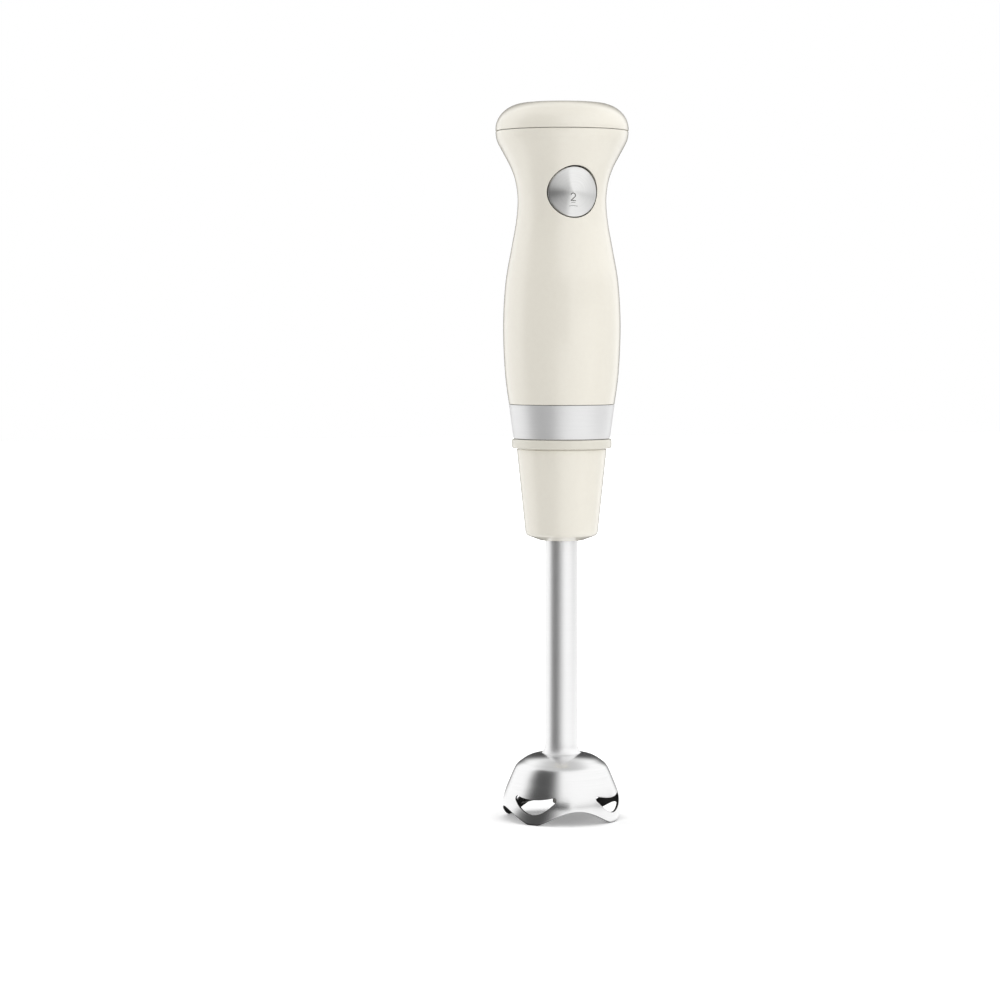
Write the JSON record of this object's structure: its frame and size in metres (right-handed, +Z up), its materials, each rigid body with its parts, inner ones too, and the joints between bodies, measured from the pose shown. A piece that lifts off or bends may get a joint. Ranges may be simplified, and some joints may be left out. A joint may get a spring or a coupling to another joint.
{
  "type": "immersion blender",
  "caption": "Stick blender: waisted cream handle with a domed cap and a round steel rocker button, steel band, steel foot with slotted blade bell.",
  "frame": {"origin": "centre of the bounding box, on the plane that the four bell feet stand on; the drive axis is at x = 0, y = -0.013 m", "axes": "+Z up along the drive axis, speed button faces -Y, cord outlet faces +Y"},
  "size_m": [0.074, 0.1, 0.3999],
  "materials": {
    "cream_plastic": "glossy cream moulding",
    "brushed_steel": "brushed around the ring",
    "spun_steel": "spun to circular grain",
    "polished_steel": "polished stainless steel",
    "blade_steel": "ground stainless steel",
    "plated_steel": "zinc-plated steel",
    "lamination_steel": "varnished laminations",
    "dark_plastic": "matte black moulding",
    "black_rubber": "soft matte rubber",
    "bronze": "sintered bronze",
    "brass": "sheet brass",
    "copper_wire": "enamelled copper wire",
    "copper_bars": "turned copper",
    "carbon": "pressed carbon",
    "ferrite": "sintered ferrite",
    "circuit_board": "green solder mask",
    "capacitor_can": "dipped film capacitor"
  },
  "bodies": {
    "handle": {"handle_shell": "cream_plastic", "top_cap": "cream_plastic", "trim_band": "brushed_steel", "coupling_socket": "dark_plastic", "retaining_clip": "plated_steel", "damper_ring": "black_rubber", "motor_yoke": "plated_steel", "motor_end_bell": "dark_plastic", "lower_motor_bearing": "bronze", "upper_motor_bearing": "bronze", "magnet_left": "ferrite", "magnet_right": "ferrite", "brush_holder_left": "brass", "brush_holder_right": "brass", "brush_left": "carbon", "brush_right": "carbon", "brush_spring_left": "plated_steel", "brush_spring_right": "plated_steel", "chassis": "dark_plastic", "chassis_screw_front": "plated_steel", "chassis_screw_rear": "plated_steel", "circuit_board": "circuit_board", "capacitor": "capacitor_can", "switch_bracket": "dark_plastic", "button_pin": "plated_steel", "lower_microswitch": "dark_plastic", "upper_microswitch": "dark_plastic", "cord_gland": "black_rubber", "cord_clamp": "dark_plastic", "clamp_screw_left": "plated_steel", "clamp_screw_right": "plated_steel"},
    "rotor": {"motor_shaft": "plated_steel", "armature_core": "lamination_steel", "lower_winding": "copper_wire", "upper_winding": "copper_wire", "commutator": "copper_bars", "cooling_fan": "dark_plastic", "drive_dog": "dark_plastic"},
    "button": {"speed_button": "spun_steel"},
    "lower_plunger": {"lower_plunger": "dark_plastic"},
    "upper_plunger": {"upper_plunger": "dark_plastic"},
    "foot": {"foot_collar": "cream_plastic", "collar_core": "dark_plastic", "shaft_tube": "polished_steel", "blade_bell": "polished_steel", "upper_bush": "bronze", "lower_bush": "bronze", "bearing_housing": "dark_plastic", "shaft_seal": "black_rubber"},
    "blade_drive": {"drive_shaft": "plated_steel", "driven_coupling": "dark_plastic", "retaining_ring": "plated_steel", "blade": "blade_steel", "blade_nut": "plated_steel"}
  },
  "joints": [
    {"name": "rotor_spin", "type": "hinge", "parent": "handle", "child": "rotor", "pos_m": [0, -0.013, 0.27], "axis": [0, 0, 1], "continuous": true},
    {"name": "foot_pull", "type": "slide", "parent": "handle", "child": "foot", "axis": [0, 0, -1], "range_m": [0, 0.04], "deforming": ["retaining_clip"]},
    {"name": "blade_spin", "type": "hinge", "parent": "foot", "child": "blade_drive", "pos_m": [0, -0.013, 0.1], "axis": [0, 0, 1], "continuous": true},
    {"name": "button_rock", "type": "hinge", "parent": "handle", "child": "button", "pos_m": [0, -0.0311, 0.35], "axis": [1, 0, 0], "range_deg": [-3, 3], "stiffness_Nm_per_rad": 0.6},
    {"name": "lower_plunger_slide", "type": "slide", "parent": "handle", "child": "lower_plunger", "axis": [0, 1, 0], "range_m": [-0.00055, 0.00055]},
    {"name": "upper_plunger_slide", "type": "slide", "parent": "handle", "child": "upper_plunger", "axis": [0, 1, 0], "range_m": [-0.00055, 0.00055]}
  ],
  "couplings": [
    {"joint": "blade_spin", "follows": "rotor_spin", "ratio": 1},
    {"joint": "lower_plunger_slide", "follows": "button_rock", "m_per_rad": 0.01},
    {"joint": "upper_plunger_slide", "follows": "button_rock", "m_per_rad": -0.01}
  ]
}
